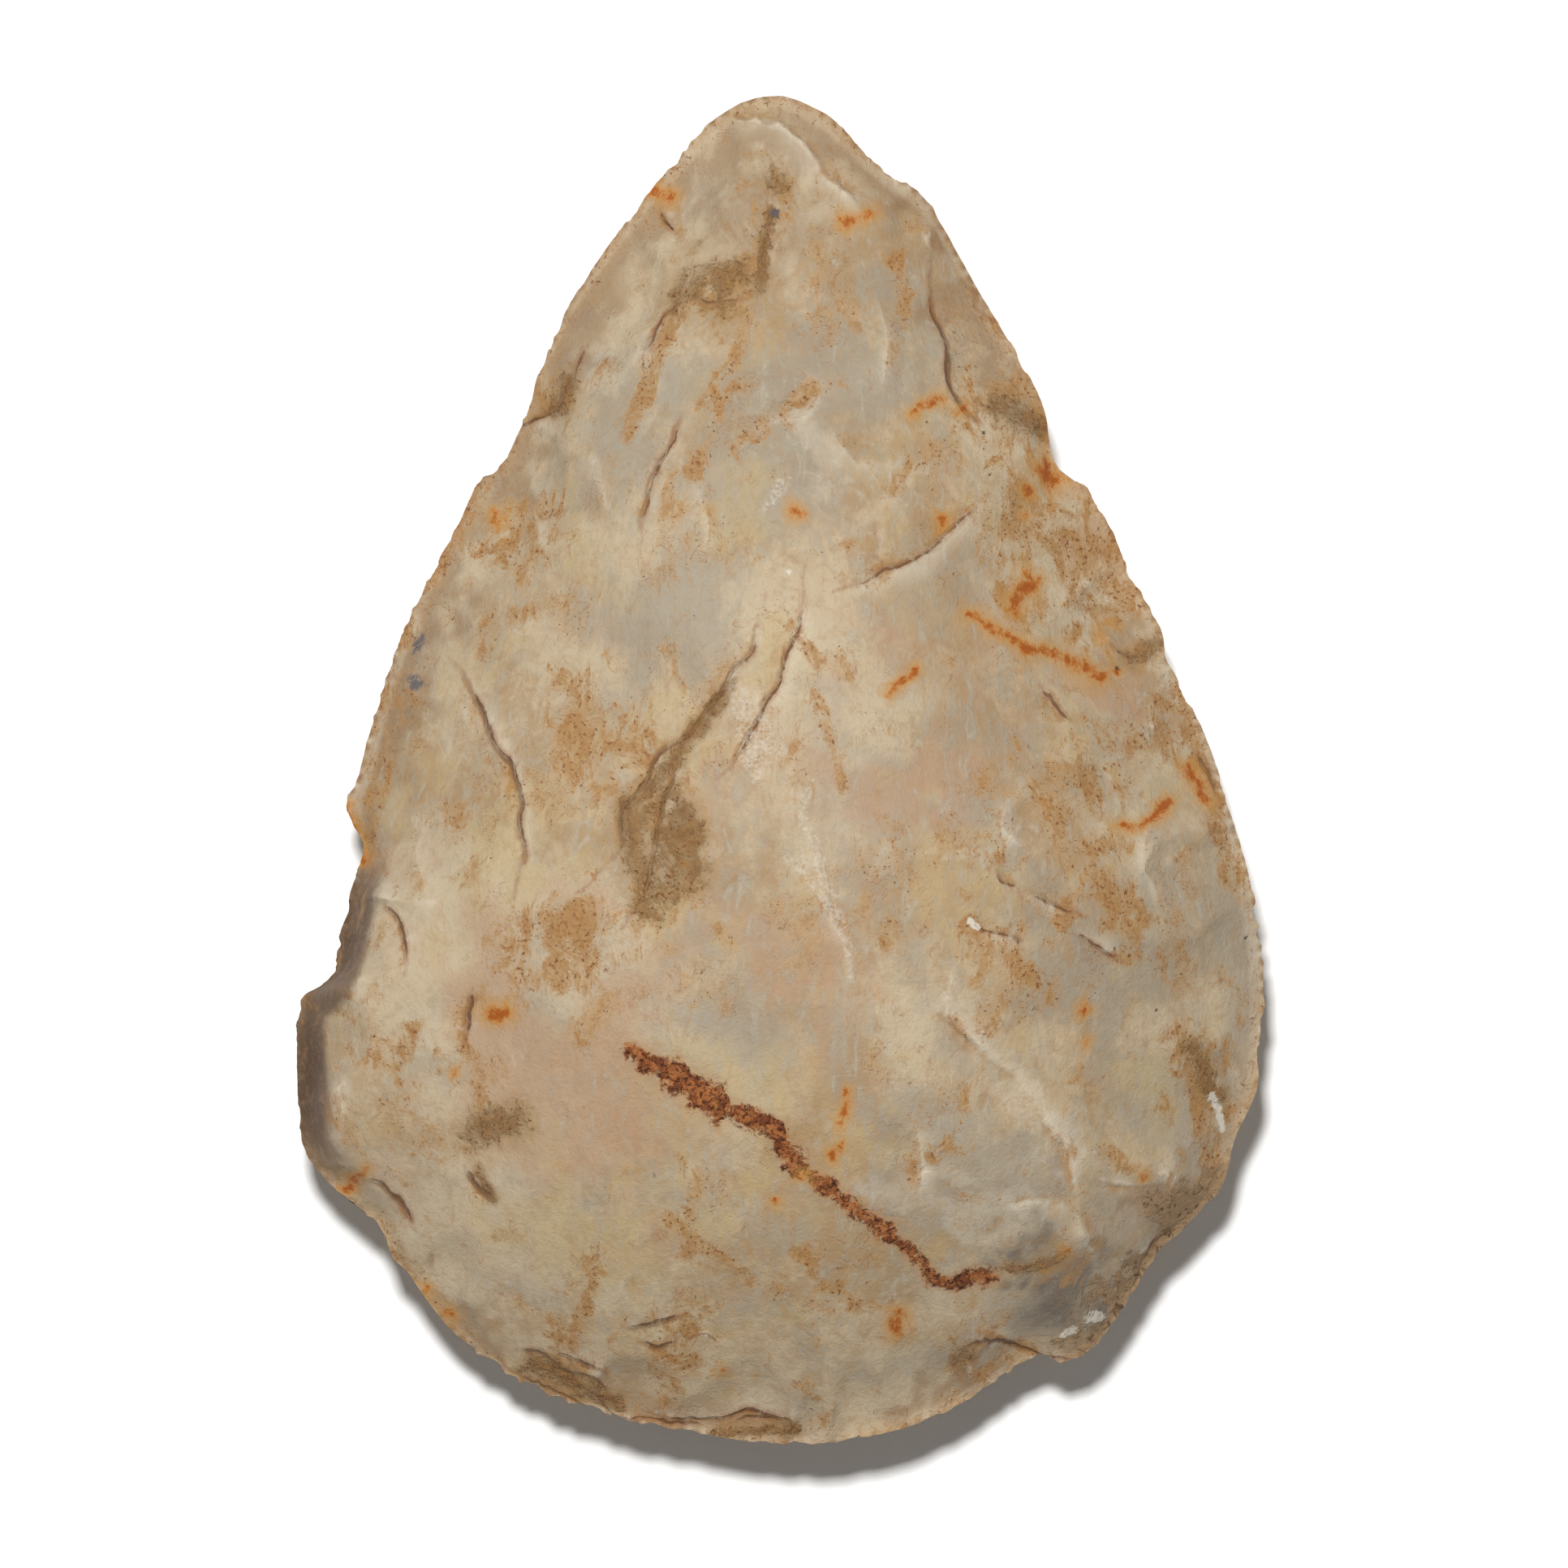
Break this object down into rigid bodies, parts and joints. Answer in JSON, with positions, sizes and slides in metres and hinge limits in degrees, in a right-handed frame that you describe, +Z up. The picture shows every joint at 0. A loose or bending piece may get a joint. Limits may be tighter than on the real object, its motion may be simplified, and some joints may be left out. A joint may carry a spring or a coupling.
{
  "type": "stone hand axe",
  "caption": "Pear-shaped flint hand axe, flaked on both faces to a thin wavy edge, cream and grey patina with a rusty iron vein, lying flat",
  "frame": {"origin": "on the surface the flint lies on, under the middle of its outline", "axes": "+Y from the thick butt to the tip, +Z up out of the more domed face, +X to the right seen from above"},
  "size_m": [0.1078, 0.15, 0.0403],
  "materials": {
    "flint": "patinated cream flint with grey zones and rust stains, satin"
  },
  "bodies": {
    "root": {"hand_axe": "flint"}
  },
  "joints": []
}
